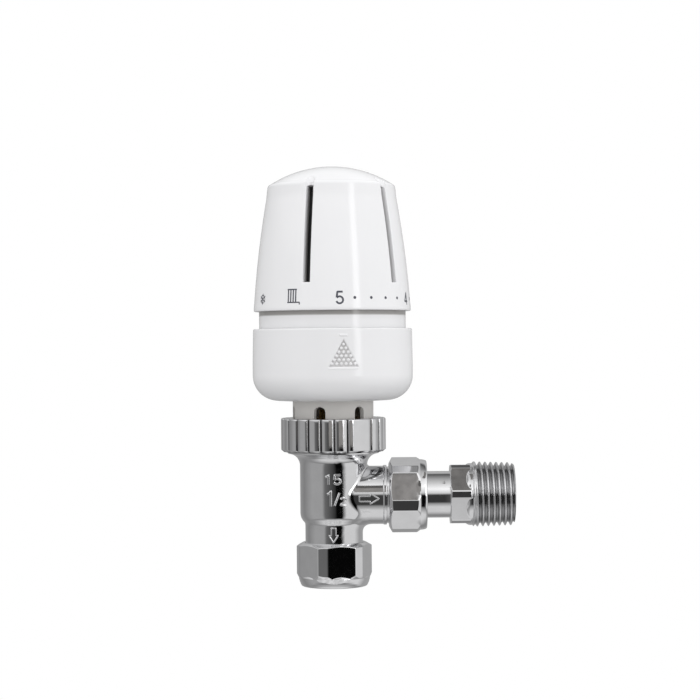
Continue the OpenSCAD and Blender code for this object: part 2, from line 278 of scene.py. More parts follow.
def new_material(name):
    """A material, its nodes, its shader and the place on the piece."""
    material = bpy.data.materials.new(name)
    material.use_nodes = True
    nodes = Nodes(material.node_tree)
    return material, nodes, find_node(material, "BSDF_PRINCIPLED"), nodes.add("TexCoord").outputs["Object"]


def surface(name, color, dark, spots, roughness, gloss, gloss_scale, metallic=0.0):
    """A material with slightly uneven colour and gloss: dark and gloss are shares of both."""
    material, nodes, shader, place = new_material(name)
    color_noise, gloss_noise = nodes.noise(place, *spots), nodes.noise(place, gloss_scale, 4)
    nodes.feed(shader, {
        "Base Color": nodes.ramp(color_noise, [(0.3, [c * dark for c in color]), (0.7, color)]),
        "Roughness": nodes.ranged(gloss_noise, roughness * gloss[0], roughness * gloss[1]),
        "Metallic": metallic})
    return material, nodes, shader, place


def plastic(name, color, roughness, grain=0.00001, mottle=0.015):
    """Moulded plastic: a faint mottle, uneven gloss and a fine moulded skin."""
    material, nodes, shader, place = surface(name, color, 1 - mottle, (90,), roughness, (0.88, 1.12), 260)
    nodes.bump(shader, (nodes.noise(place, 160, 2), grain * 4, 0.25),
               (nodes.noise(place, 2600, 2), grain, 0.35))
    return material


def chrome(name, color, roughness, wave=0.00002, wave_scale=140, pit=0.000002):
    """Chrome plate: the casting's slow waves, a fine skin and slightly uneven polish."""
    material, nodes, shader, place = surface(name, color, 0.94, (220,), roughness, (0.75, 1.35), 500, 1.0)
    nodes.bump(shader, (nodes.noise(place, wave_scale, 2), wave, 0.5),
               (nodes.noise(place, 2400, 3), pit, 0.4))
    return material


def machined(name, color, roughness):
    """Turned metal with fine tool marks around its axis."""
    material, nodes, shader, place = surface(name, color, 0.8, (300, 4), roughness, (0.8, 1.3), 700, 1.0)
    rings = nodes.add("TexWave", {"Vector": place, "Scale": 900, "Distortion": 1.5}, bands_direction="Z")
    nodes.bump(shader, (rings.outputs["Fac"], 0.000008, 0.4))
    return material


def shaded_below(material, profile, near, far, low, high, deep, lying=False):
    """Darkens a material where it lies below the part's turned outside, to deepen the shade of recesses.
    profile is (a, b, c): outside radius a + b z + c z^2. near and far are depths, low and high the heights
    it works between, all in metres, and deep is the tint. lying is for a part turned about the outlet's
    axis."""
    nodes, shader = Nodes(material.node_tree), find_node(material, "BSDF_PRINCIPLED")
    calc, fade = nodes.math, 0.5 * MM
    x, y, z = nodes.split(find_node(material, "TEX_COORD").outputs["Object"])
    if lying:
        x, z = calc("SUBTRACT", z, OUTLET_Z * MM), x
    radius = calc("SQRT", calc("ADD", calc("MULTIPLY", x, x), calc("MULTIPLY", y, y)))
    a, b, c = profile
    outside = calc("ADD", a, calc("MULTIPLY", z, calc("ADD", b, calc("MULTIPLY", z, c))))
    depth = nodes.ranged(calc("SUBTRACT", outside, radius), 0.0, 1.0, near, far)
    depth = calc("MULTIPLY", depth, nodes.ranged(z, 0.0, 1.0, low - fade, low))
    depth = calc("MULTIPLY", depth, nodes.ranged(z, 1.0, 0.0, high, high + fade))
    base = shader.inputs["Base Color"].links[0].from_socket
    mix = nodes.add("Mix", {"A": base, "B": (*deep, 1), "Factor": depth}, data_type="RGBA",
                    blend_type="MULTIPLY")
    nodes.feed(shader, {"Base Color": mix.outputs["Result"]})


CAP_WHITE = plastic("cap_white", (0.82, 0.82, 0.832), 0.11)
COLLAR_WHITE = plastic("collar_white", (0.80, 0.80, 0.812), 0.15)
RING_WHITE = plastic("ring_white", (0.80, 0.80, 0.812), 0.14)
SLEEVE_GREY = plastic("sleeve_grey", (0.60, 0.585, 0.565), 0.50, grain=0.00002, mottle=0.04)
BLACK_PLASTIC = plastic("black_plastic", (0.02, 0.02, 0.021), 0.45, grain=0.00002, mottle=0.3)
PRINT = plastic("scale_print", (0.075, 0.078, 0.10), 0.45, grain=0.000004, mottle=0.15)
BODY_CHROME = chrome("body_chrome", (0.80, 0.80, 0.81), 0.07, wave=0.00003, wave_scale=120, pit=0.000004)
NUT_CHROME = chrome("nut_chrome", (0.82, 0.82, 0.83), 0.06, wave_scale=180)
TAIL_CHROME = chrome("tail_chrome", (0.80, 0.80, 0.81), 0.08, wave=0.000012, wave_scale=160)
RIB_CHROME = chrome("rib_chrome", (0.80, 0.80, 0.81), 0.08, wave=0.00001, wave_scale=200)
BRASS = machined("brass", (0.70, 0.50, 0.22), 0.28)
STEEL = machined("stainless", (0.55, 0.55, 0.56), 0.25)
SPRING_STEEL = machined("spring_steel", (0.40, 0.40, 0.41), 0.30)
CAPSULE_METAL = machined("capsule_metal", (0.66, 0.44, 0.27), 0.35)
RUBBER = plastic("seal_rubber", (0.018, 0.018, 0.018), 0.6, grain=0.00002, mottle=0.3)

# inside pieces that keep their CAD mesh
CAD_MATERIALS = (
    (BRASS, ("inlet_olive", "tail_olive", "bonnet", "gland_nut", "spring_seat", "disc_holder", "disc_nut")),
    (RUBBER, ("bonnet_o_ring", "spindle_o_ring", "valve_disc")),
    (SPRING_STEEL, ("spindle_clip", "sensor_retainer")),
    (STEEL, ("spindle", "sensor_piston")),
    (CAPSULE_METAL, ("sensor_capsule",)),
    (BLACK_PLASTIC, ("push_plunger", "dial_insert")),
)


def finish_cad_nodes():
    for material, names in CAD_MATERIALS:
        for name in names:
            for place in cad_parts[name].material_slots:
                place.material = material


# ---------------- springs

COIL_STEPS, WIRE_SIDES = 48, 14
# the pitch is small over the first and last part of a coil
END_PITCH, END_COILS = 0.25, 0.75
SEAT_GAP = 0.02


def make_spring(node, body, radius, wire, seat, head, coils):
    """A wound spring between two seats, with closed end coils.
    radius goes to the middle of the wire, wire is the wire's own radius."""
    t = np.arange(coils * COIL_STEPS + 1) / COIL_STEPS
    pitch = END_PITCH + (1 - END_PITCH) * np.clip(np.minimum(t, coils - t) / END_COILS, 0, 1)
    climb = np.concatenate([[0], np.cumsum((pitch[1:] + pitch[:-1]) / 2)])
    low, high = seat + wire + SEAT_GAP, head - wire - SEAT_GAP
    z = low + (high - low) * climb / climb[-1]
    around = np.radians(np.linspace(0, 360, WIRE_SIDES, endpoint=False)[None, :])
    points = polar(radius + wire * np.cos(around), t[:, None] * 360, z[:, None] + wire * np.sin(around))
    faces = grid_faces(len(t), WIRE_SIDES, closed_rows=False) + end_faces(len(t), WIRE_SIDES)
    spring = make_object(node + "_wire", points, faces, body, SPRING_STEEL, [node])
    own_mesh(spring)


def make_springs():
    make_spring("return_spring", "valve", radius=3.2, wire=0.4, seat=35.3, head=44.6, coils=6)
    make_spring("overtravel_spring", "plunger_group", radius=4.9, wire=0.45, seat=77.5, head=91.0, coils=7)


# ---------------- dial cap

CAP_SIDE_LOW, CAP_SIDE_H = 93.4, 32.8
CAP_FOOT_R, CAP_TAPER, CAP_BULGE = 25.45, 4.1, 1.68
CAP_TOP = CAP_HIGH[2]
CAP_WALL = 1.8
DOME_R = 37.0
SHOULDER_R = 20.15
SLOT_DEPTH = 3.4
SLOT_EDGE = 0.38
SCOOP_DEPTH, SCOOP_LENGTH = 1.35, 4.6
CAP_SHADE = (0.32, 0.31, 0.30)


def cap_side(z):
    """Outside radius of the cap's tapered side."""
    t = (z - CAP_SIDE_LOW) / CAP_SIDE_H
    return CAP_FOOT_R - CAP_TAPER * t + CAP_BULGE * t * (1 - t)


def cap_outline():
    """Outside of the cap from its lower edge to the top, as a dense polyline."""
    low = CAP_LOW[2]
    side = [(cap_side(z), z, 0) for z in np.linspace(92.6, 126.6, 30)]
    dome_start = math.degrees(math.asin(SHOULDER_R / DOME_R))
    dome = [(DOME_R * math.sin(math.radians(a)), CAP_TOP - DOME_R + DOME_R * math.cos(math.radians(a)), 0)
            for a in np.linspace(dome_start * 0.97, 0, 26)]
    edge = SHOULDER_R + 0.75
    corner = (edge, CAP_TOP - DOME_R + math.sqrt(DOME_R ** 2 - edge ** 2) + 0.15, 2.0)
    bottom = [(24.8, low, 0), (25.68, low, 0.28), (25.7, low + 0.9, 0.5)]
    return subdivided(rounded(bottom + side + [corner] + dome, 8, closed=False), 0.6, closed=False)


class Outline:
    """A polyline that can be read by its length."""

    def __init__(self, points):
        self.points = np.asarray(points, float)
        steps = np.linalg.norm(np.diff(self.points, axis=0), axis=1)
        self.lengths = np.concatenate([[0], np.cumsum(steps)])
        self.total = self.lengths[-1]

    def at(self, s):
        return np.stack([np.interp(s, self.lengths, self.points[:, k]) for k in (0, 1)], axis=-1)

    def normal(self, s):
        reach = 0.25
        ahead, behind = self.at(np.minimum(s + reach, self.total)), self.at(np.maximum(s - reach, 0))
        along = ahead - behind
        along /= np.linalg.norm(along, axis=-1, keepdims=True)
        return np.stack([along[..., 1], -along[..., 0]], axis=-1)

    def where_height(self, z):
        return float(np.interp(z, self.points[:, 1], self.lengths))


def edge_steps(reach, steps=5):
    """Distances before an edge at which a quarter-round fillet is sampled, the edge itself last."""
    return [-reach * (1 - math.sin(math.radians(90 * k / steps))) for k in range(steps + 1)]


def fillet_depth(distance, reach):
    """Depth of a quarter-round fillet at a distance outside its edge."""
    inside = np.clip(1 - distance / reach, 0, 1)
    return reach * (1 - np.sqrt(1 - inside ** 2))


def cap_sections():
    """Rows and columns of the cap's grid, and which of them bound a slot."""
    outline = Outline(cap_outline())
    low, high = outline.where_height(SLOT_LOW), outline.where_height(SLOT_HIGH)
    before = edge_steps(SLOT_EDGE)
    rows = list(np.linspace(0, 2.4, 12)) + list(np.arange(3.0, low + before[0], 0.9))
    rows += [low + d for d in before]
    bottom_row = len(rows) - 1
    rows += list(np.arange(low + 0.9, high - 0.5, 0.9))
    top_row = len(rows)
    rows += [high]
    rows += list(np.arange(high + 0.16, high + 6.2, 0.16))
    rows += list(np.linspace(high + 6.5, outline.total, 22))
    half = SLOT_W / 2
    across = [-half + d for d in before] + list(np.linspace(-half + 0.02, half - 0.02, 9))
    across += [half - d for d in reversed(before)]
    return outline, np.array(rows), bottom_row, top_row, np.array(across)


def scoop_depth(run, across):
    """Depth of the rounded run-out above a slot, at a length past the slot's top."""
    reach = (across / (SLOT_W / 2 + 0.4)) ** 2 + (run / SCOOP_LENGTH) ** 2
    return SCOOP_DEPTH * np.clip(1 - reach, 0, 1) ** 0.7


def cap_side_terms():
    """The cap's side as a + b z + c z^2, in metres."""
    heights = (CAP_SIDE_LOW, 110, 126.2)
    fit = np.polyfit([z * MM for z in heights], [cap_side(z) * MM for z in heights], 2)
    return tuple(float(v) for v in fit[::-1])


def make_cap():
    shaded_below(CAP_WHITE, cap_side_terms(), 0.8 * MM, 2.8 * MM, SLOT_LOW * MM, (SLOT_HIGH + 0.5) * MM,
                 CAP_SHADE)
    outline, rows, bottom_row, top_row, across = cap_sections()
    between = 26
    pitch = 360 / SLOT_COUNT
    profile, normal = outline.at(rows), outline.normal(rows)
    radius = np.maximum(profile[:, 0], 17.0)[:, None]
    half_turn = np.degrees(across[-1] / radius)
    far_off = 99.0
    turns, offsets = [], []
    for k in range(SLOT_COUNT):
        middle = SLOT_TURN + pitch * k
        turns.append(middle + np.degrees(across[None, :] / radius))
        offsets.append(np.broadcast_to(across[None, :], (len(rows), len(across))))
        t = np.arange(1, between + 1)[None, :] / (between + 1)
        right, left = middle + half_turn, middle + pitch - half_turn
        turns.append(right + (left - right) * t)
        offsets.append(np.full((len(rows), between), far_off))
    turns, offsets = np.concatenate(turns, 1), np.concatenate(offsets, 1)
    cols = turns.shape[1]
    # how far each point lies below the plain surface
    s = rows[:, None]
    low, high = rows[bottom_row], rows[top_row]
    outside = np.hypot(np.maximum(np.abs(offsets) - SLOT_W / 2, 0), np.maximum(low - s, 0))
    scoop = scoop_depth(np.clip(s - high, 0, None), offsets)
    depth = np.where(s >= high - 1e-6, scoop, fillet_depth(outside, SLOT_EDGE))
    outer_rz = profile[:, None, :] - normal[:, None, :] * depth[..., None]
    # the slot's upper corners are rounded
    off = np.abs(offsets[0])
    corner = 0.42 * np.clip(off * 2 / SLOT_W, 0, 1) ** 3 * (off < SLOT_W)
    outer_rz[top_row, :, 0] += 0.12 * corner
    outer_rz[top_row, :, 1] -= corner
    outer = polar(outer_rz[..., 0], turns, outer_rz[..., 1])
    # the inside of the shell, row by row
    shell = [(24.35, CAP_LOW[2] + 0.25), (24.3, 95.6), (23.8, 96.4)]
    shell += [(cap_side(z) - CAP_WALL, z) for z in np.linspace(97.2, 126.2, 12)]
    shell += [(19.5, 128.4), (17.0, 130.2)] + [(r, CAP_TOP - 2 - r * r / 60) for r in (12, 8, 4, 0)]
    inner_side = Outline(shell)
    inner_marks = [0, inner_side.where_height(SLOT_LOW), inner_side.where_height(128.9), inner_side.total]
    inner_rz = inner_side.at(np.interp(rows, [0, low, high, outline.total], inner_marks))
    # the wall is deeper in a rim round every slot
    near_slot = np.concatenate([np.ones(len(across) + 1), np.zeros(between - 2), np.ones(1)])
    near_slot = np.tile(near_slot, SLOT_COUNT)[None, :]
    at_slot = ((rows >= low - 2 * SLOT_EDGE) & (rows <= high + 0.2))[:, None]
    inner_r = inner_rz[:, 0][:, None] - (SLOT_DEPTH - CAP_WALL) * near_slot * at_slot
    inner = polar(inner_r, turns, inner_rz[:, 1][:, None])[::-1]
    points = np.concatenate([outer, inner])
    count, edge = len(rows), len(edge_steps(1))
    faces = pierced_faces(2 * count, cols, SLOT_COUNT, 0, count, count, (bottom_row, top_row),
                          (edge - 1, len(across) - edge))
    make_object("dial_cap_shell", points, faces, "dial", CAP_WHITE, ["dial_cap"])


# ---------------- printed scale

PRINT_LIFT, PRINT_SINK = 0.03, 0.05
DIGIT_H, DIGIT_Z = 4.1, 91.5
DIGIT_MIDDLE = DIGIT_Z + DIGIT_H / 2
STROKE_W = 0.6
DOT_R = 0.47
# strokes of the digits in a box 1 high, centred across
DIGITS = {
    "1": [[(-0.16, 0.76), (0.0, 0.84), (0.06, 0.97), (0.06, 0.0)]],
    "2": [bow(0, 0.70, 0.26, 0.26, 165, -10) + [(0.10, 0.42), (-0.18, 0.20), (-0.27, 0.05), (0.29, 0.05)]],
    "3": [bow(0, 0.73, 0.23, 0.225, 160, -70) + [(-0.04, 0.52)], bow(0, 0.28, 0.27, 0.245, 90, -160)],
    "4": [[(0.14, 0.0), (0.14, 0.96), (-0.28, 0.27), (0.32, 0.27)]],
    "5": [[(0.24, 0.95), (-0.17, 0.95), (-0.23, 0.50)], bow(-0.005, 0.32, 0.27, 0.275, 142, -160)],
}
# azimuths of the digits, then where each run of four dots counts from and the step between dots
DIGIT_TURNS = {"5": 5.8, "4": 69.4, "3": 133.0, "2": 197.0, "1": 261.0}
DOT_STARTS, DOT_STEP = (4.0, 68.0, 132.0, 196.0), 12.8


def on_cap(azimuth, foot):
    """A function that lays flat (u, v) points on the cap's side, lifted off it."""
    def place(flat, lift):
        z = foot + flat[:, 1]
        radius = cap_side(z) + lift
        return polar(radius, azimuth + np.degrees(flat[:, 0] / radius), z)
    return place


def stroke_solid(path, width, place):
    """A thin closed solid along a path, laid on a surface by place(points, lift)."""
    path = subdivided(np.array(path, float), 0.3, closed=False)
    along = np.gradient(path, axis=0)
    along /= np.linalg.norm(along, axis=1, keepdims=True)
    side = np.stack([-along[:, 1], along[:, 0]], axis=1) * width / 2
    loops = [place(path + side * edge, lift) for edge, lift in
             ((1, PRINT_LIFT), (1, -PRINT_SINK), (-1, -PRINT_SINK), (-1, PRINT_LIFT))]
    faces = grid_faces(len(path), 4, closed_rows=False) + end_faces(len(path), 4)
    return np.stack(loops, axis=1).reshape(-1, 3), faces


def dot_solid(place, sides=24):
    turns = np.radians(np.arange(sides) * 360 / sides)
    rim = np.stack([DOT_R * np.cos(turns), DOT_R * np.sin(turns)], axis=1)
    points = np.concatenate([place(rim, PRINT_LIFT), place(rim, -PRINT_SINK)])
    faces = [tuple(range(sides)), tuple(reversed(range(sides, 2 * sides)))]
    faces += [(k, sides + k, sides + (k + 1) % sides, (k + 1) % sides) for k in range(sides)]
    return points, faces


def joined(solids):
    points, faces, start = [], [], 0
    for p, f in solids:
        points.append(p)
        faces += [tuple(start + i for i in face) for face in f]
        start += len(p)
    return np.concatenate(points), faces


def unit(angle):
    return np.array([math.cos(angle), math.sin(angle)])


def snowflake(azimuth):
    place, reach, solids = on_cap(azimuth, DIGIT_MIDDLE), 1.75, []
    for k in range(3):
        a = math.radians(90 + 60 * k)
        tip = unit(a) * reach
        solids.append(stroke_solid([-tip, tip], 0.32, place))
        for sign in (-1, 1):
            root = sign * tip * 0.52
            for fork in (-50, 50):
                b = a + math.radians(fork) + (math.pi if sign < 0 else 0)
                solids.append(stroke_solid([root, root + 0.7 * unit(b)], 0.28, place))
    return solids


def radiator_sign(azimuth):
    """A plain panel-radiator sign: a frame with upright bars and a foot pipe."""
    place = on_cap(azimuth, DIGIT_Z + 0.5)
    solids = [stroke_solid([(-1.7, y), (1.7, y)], 0.4, place) for y in (0.2, 4.3)]
    solids += [stroke_solid([(x, 0.0), (x, 4.5)], 0.42, place) for x in (-1.35, -0.45, 0.45, 1.35)]
    return solids + [stroke_solid([(1.7, 0.2), (2.7, 0.2), (2.7, -0.5)], 0.38, place)]


def make_scale():
    solids = [stroke_solid(np.array(path) * DIGIT_H, STROKE_W, on_cap(azimuth, DIGIT_Z))
              for text, azimuth in DIGIT_TURNS.items() for path in DIGITS[text]]
    solids += [dot_solid(on_cap(start + DOT_STEP * k, DIGIT_MIDDLE))
               for start in DOT_STARTS for k in range(1, 5)]
    points, faces = joined(solids + snowflake(299.4) + radiator_sign(330.5))
    make_object("dial_scale_print", points, faces, "dial", PRINT, sharp=40)


# ---------------- base collar and guide ring

POINTER_APEX, POINTER_BASE, POINTER_HALF, POINTER_SUNK = 80.6, 71.6, 4.9, 0.5
POINTER_SHADE = (0.66, 0.65, 0.64)
RING_SHADE = (0.42, 0.41, 0.39)
COLLAR_FACE_R = 25.9


def band(value, half, soft):
    """1 where the value is within half of 0, falling to 0 over a soft width inside that."""
    return np.clip((half - np.abs(value)) / soft, 0, 1)


def pointer_height(u, z):
    """Height of the pointer's surface over the collar: a sunk triangle with raised dots, a bar above it and
    a lip below."""
    tall = POINTER_APEX - POINTER_BASE
    slope = math.hypot(POINTER_HALF, tall)
    edge = ((POINTER_APEX - z) * POINTER_HALF - np.abs(u) * tall) / slope
    t = np.clip((np.minimum(edge, z - POINTER_BASE) + 0.1) / 0.4, 0, 1)
    height = -POINTER_SUNK * t * t * (3 - 2 * t)
    dot_r, across, down = 0.5, 1.5, 1.24
    for row in range(6):
        zc = POINTER_APEX - 1.75 - down * row
        for k in range(row + 1):
            away = np.hypot(u - (k - row / 2) * across, z - zc) / dot_r
            height = height + POINTER_SUNK * np.clip((1.15 - away) / 0.45, 0, 1) ** 0.7
    bar = band(u, 1.3, 0.15) * band(z - 81.7, 0.34, 0.14)
    lip = band(u, POINTER_HALF, 0.2) * band(z - POINTER_BASE + 0.45, 0.24, 0.14)
    return np.minimum(height, 0) + 0.2 * bar + 0.09 * lip


def make_collar():
    low, high, r = COLLAR_LOW[2], COLLAR_HIGH[2], COLLAR_HIGH[0] - 0.1
    round_r, step = r - 18.0, 0.13
    outer = [(13.4, low, 0), (16.2, low, 0)]
    outer += [(x, y, 0) for x, y in bow(18.0, low + 8.3, round_r, round_r, -90, 0, 22)]
    outer += [(r, low + 12.4, 0), (r - 0.1, 78.3, 0), (r - 0.2, high, 0.45)]
    inner = [(24.35, high, 0.3), (24.35, 68.0, 0), (22.0, 64.1, 0), (21.0, 62.45, 0), (13.4, 62.45, 0)]
    profile = rounded(outer + inner, 5)
    shaded_below(COLLAR_WHITE, ((r - 0.1) * MM, 0.0, 0.0), 0.1 * MM, 0.5 * MM, 71 * MM, 82 * MM,
                 POINTER_SHADE)
    fine = []
    for i, a in enumerate(profile):
        b = profile[(i + 1) % len(profile)]
        on_pointer = a[0] > COLLAR_FACE_R and max(a[1], b[1]) > 70.5 and min(a[1], b[1]) < 83
        steps = max(1, math.ceil(np.linalg.norm(b - a) / (step if on_pointer else 1.6)))
        fine += [a + (b - a) * k / steps for k in range(steps)]
    profile = np.array(fine)
    reach = math.degrees(5.6 / r)
    turns = np.concatenate([POINTER_TURN + np.linspace(-reach, reach, 88),
                            POINTER_TURN + np.linspace(reach, 360 - reach, 170)[1:-1]])
    radius, z = profile[:, 0][:, None], profile[:, 1][:, None]
    u = np.radians((turns[None, :] - POINTER_TURN + 180) % 360 - 180) * r
    on_outside = (radius > COLLAR_FACE_R) & (z > 70.2) & (z < 83.0)
    points = polar(radius + np.where(on_outside, pointer_height(u, z), 0), turns[None, :], z)
    make_object("base_collar_shell", points, None, "head_base", COLLAR_WHITE,
                ["base_collar"], sharp=60)


def make_guide_ring():
    low, high, r = RING_LOW[2], RING_HIGH[2], RING_HIGH[0] - 0.2
    profile = rounded([(14.6, low, 0.1), (20.8, low, 0.3), (21.5, low + 0.35, 0.3), (r, 68.4, 0.6),
                       (r, high, 0.4), (22.6, high, 0.3), (22.6, 69.0, 0.3), (20.2, 65.4, 0.3),
                       (14.6, 65.4, 0.1)], 5)
    # the whole ring lies below this outside: its shade depends on the height only, just under the cap's lip
    shaded_below(RING_WHITE, (1.0, 0.0, 0.0), 0.0, 0.5, 88.5 * MM, 91.0 * MM, RING_SHADE)
    profile = subdivided(profile, 2.0)
    turns = np.linspace(0, 360, 200, endpoint=False)
    points = polar(profile[:, 0][:, None], turns[None, :], profile[:, 1][:, None])
    make_object("guide_ring_band", points, None, "head_base", RING_WHITE, ["guide_ring"],
                sharp=60)


# ---------------- mounting sleeve

WINDOW_COUNT, WINDOW_TURN, WINDOW_W = 6, -19.0, 3.85
WINDOW_LOW, WINDOW_TOP = 53.9, 58.95
WINDOW_EDGE = 0.18
SLEEVE_R, SLEEVE_BORE = 13.2, 11.6
CORE_R, CORE_BORE = 12.15, 10.0


def make_sleeve():
    before = edge_steps(WINDOW_EDGE, 3)
    half = WINDOW_W / 2
    arch = half * np.sin(np.radians(np.linspace(-84, 84, 13)))
    across = np.concatenate([[-half + d for d in before], arch, [half - d for d in reversed(before)]])
    arch_foot = WINDOW_TOP - half
    # levels up the skirt: the last one inside the window follows the arch
    levels = np.concatenate([[WINDOW_LOW + d for d in before], np.linspace(WINDOW_LOW, arch_foot, 8)[1:]])
    low_row, top_row = len(before) - 1, len(levels) - 1
    above = [-d for d in reversed(before)][1:] + [0.6, 1.2, 1.9]
    crown = np.sqrt(np.clip(half ** 2 - np.clip(across, -half, half) ** 2, 0, None))
    heights = [np.broadcast_to(v, across.shape) for v in levels[:low_row + 1]]
    heights += [v + crown * ((v - WINDOW_LOW) / (arch_foot - WINDOW_LOW)) for v in levels[low_row + 1:]]
    heights += [arch_foot + crown * (1 - 0.12 * k) + v for k, v in enumerate(above)]
    heights = np.array(heights)
    pitch, between = 360 / WINDOW_COUNT, 12
    flat_heights = np.concatenate([levels, [arch_foot + v for v in above]])
    wide = np.degrees(across / SLEEVE_R)
    side = np.maximum(np.abs(across)[None, :] - half, 0)
    below = np.maximum(WINDOW_LOW - heights, 0)
    over = np.maximum(heights - (arch_foot + crown[None, :]), 0)
    edge_depth = fillet_depth(np.hypot(side, below + over), WINDOW_EDGE)
    gap = (pitch - 2 * wide[-1]) * (np.arange(1, between + 1) / (between + 1))
    turns = [WINDOW_TURN + pitch * k + part for k in range(WINDOW_COUNT) for part in (wide, wide[-1] + gap)]
    flat_part = np.broadcast_to(flat_heights[:, None], (len(flat_heights), between))
    zs = np.concatenate([heights, flat_part] * WINDOW_COUNT, 1)
    depths = np.concatenate([edge_depth, 0 * flat_part] * WINDOW_COUNT, 1)
    turns = np.concatenate(turns)
    cols, count = len(turns), len(flat_heights)
    under = [(SLEEVE_BORE, 52.0), (14.7, 52.0), (14.8, 52.1), (14.8, 53.2), (14.7, 53.3), (13.3, 53.3),
             (SLEEVE_R, 53.4)]
    over = [(SLEEVE_R, 61.2), (SLEEVE_R, 62.3), (13.4, 62.5), (20.4, 62.5), (20.6, 62.7), (20.6, 63.8),
            (20.4, 64.0), (12.3, 64.0), (CORE_R, 64.15)]
    for k in range(6):
        z = 66.3 + 2.8 * k
        over += [(CORE_R, z), (11.4, z + 0.9), (11.4, z + 1.3), (CORE_R, z + 2.2)]
    over += [(CORE_R, 83.0), (CORE_BORE, 83.0), (CORE_BORE, 70.0), (2.96, 70.0), (2.96, 66.5),
             (CORE_BORE, 66.5), (SLEEVE_BORE, 64.9), (SLEEVE_BORE, 61.2)]
    rows = [polar(r, turns, z) for r, z in under]
    first = len(rows)
    rows += list(polar(SLEEVE_R - depths, turns[None, :], zs))
    rows += [polar(r, turns, z) for r, z in over]
    back = len(rows)
    rows += list(polar(SLEEVE_BORE, turns[None, :], zs)[::-1])
    faces = pierced_faces(len(rows), cols, WINDOW_COUNT, first, back, count, (low_row, top_row),
                          (len(before) - 1, len(across) - len(before)))
    make_object("mounting_sleeve_skirt", np.array(rows), faces, "head_base", SLEEVE_GREY,
                ["mounting_sleeve"])


# ---------------- ribbed head nut

RIB_COUNT, RIB_TURN, RIB_STEPS = 24, 1.7, 22
WIDE_LAND = 31.7
HEAD_NUT_R, HEAD_NUT_BORE = 17.2, 15.03
RIB_SHADE = (0.30, 0.30, 0.30)


def rib_depth(turns):
    """Depth below the full radius around the nut: narrow valleys between crowned ribs of uneven depth."""
    step = 360 / RIB_COUNT
    share = ((turns - RIB_TURN) / step) % 1.0
    t = np.abs(share - 0.5) * 2
    crown = 0.42 * t ** 2.0
    valley = 0.5 * np.clip((t - 0.76) / 0.24, 0, 1) ** 1.5
    uneven = 1 + 0.25 * np.sin(np.radians(turns * 5 + 40)) * np.sin(np.radians(turns * 3))
    # one land is wider: it has no valley of its own
    wide = np.clip(1 - np.abs((turns - WIDE_LAND + 180) % 360 - 180) / (0.75 * step), 0, 1)
    wide = np.clip(wide * 3, 0, 1)
    return (crown + valley) * uneven * (1 - wide) + 0.05 * wide


def make_head_nut():
    low, high, r = HEAD_NUT_LOW[2], HEAD_NUT_HIGH[2], HEAD_NUT_R
    profile = rounded([(HEAD_NUT_BORE, low, 0.2), (r - 0.9, low, 0.25), (r, low + 0.75, 0.35),
                       (r, high, 0.55), (13.4, high, 0.2), (13.4, 53.4, 0.1), (HEAD_NUT_BORE, 53.4, 0.1)], 5)
    profile = subdivided(profile, 0.9)
    turns = RIB_TURN + np.arange(RIB_COUNT * RIB_STEPS) * 360 / (RIB_COUNT * RIB_STEPS)
    radius, z = profile[:, 0][:, None], profile[:, 1][:, None]
    share = np.clip((radius - (r - 1.6)) / 1.0, 0, 1)
    points = polar(radius - rib_depth(turns)[None, :] * share, turns[None, :], z)
    shaded_below(RIB_CHROME, (r * MM, 0.0, 0.0), 0.35 * MM, 0.85 * MM, low * MM, (high - 0.3) * MM, RIB_SHADE)
    make_object("head_nut_ribbed", points, None, "head_nut_group", RIB_CHROME,
                ["head_nut"], sharp=60)


# ---------------- hexagon nuts

# a little over the CAD nuts' 22 mm, because the bevels take from the outline
NUT_FLATS = 22.6
TAIL_FLATS = 19.0
# the bevelled edge of every face: its share of the face's width and its angle
NUT_BEVEL = (0.175, 23.5)
TAIL_BEVEL = (0.09, 34)
NUT_THREAD_R = 9.52


def soft_min(a, b, blend):
    """The smaller of two lengths, with a rounded meeting."""
    h = np.clip(0.5 + 0.5 * (b - a) / blend, 0, 1)
    return b * (1 - h) + a * h - blend * h * (1 - h)


def hexagon_radius(turns, flats, bevel, blend=0.12):
    """Radius of a hexagon whose first face looks to azimuth 0. Every face is bevelled along its edge
    towards lower azimuths."""
    share, angle = bevel
    width = flats / math.sqrt(3)
    turn = math.radians(angle)
    bevel_reach = flats / 2 * math.cos(turn) + (0.5 - share) * width * math.sin(turn)
    away = (turns + 30) % 60 - 30
    radius = np.full(np.shape(turns), 99.0)
    for face in (-60, 0, 60):
        for reach, normal in ((flats / 2, face), (bevel_reach, face - angle)):
            cosine = np.cos(np.radians(away - normal))
            radius = soft_min(reach / np.maximum(cosine, 0.2), radius, blend)
    return radius


def hexagon_turns(per_face=60):
    """Azimuths around a hexagon, closer together at its corners."""
    t = np.linspace(-1, 1, per_face, endpoint=False)
    eased = 30 * (0.72 * np.sin(t * math.pi / 2) + 0.28 * t)
    return np.concatenate([60 * k + eased for k in range(6)])


def outline_radius(z, outline):
    """Radius of a turned outline, given as (r, z) points in order of height."""
    points = np.array(outline)
    return np.interp(z, points[:, 1], points[:, 0])


def hexagon_part(flats, bevel, turn, outline, floor, levels):
    """Points of a hexagon between two turned outlines: cut to the first, filled up to the second."""
    turns = hexagon_turns()
    hexed = hexagon_radius(turns, flats, bevel)[None, :]
    limit = outline_radius(levels, outline)[:, None]
    least = outline_radius(levels, floor)[:, None]
    radius = -soft_min(-soft_min(hexed, limit, 0.25), -least + 0 * hexed, 0.1)
    return polar(np.minimum(radius, np.maximum(limit, least)), turns[None, :] + turn, levels[:, None])


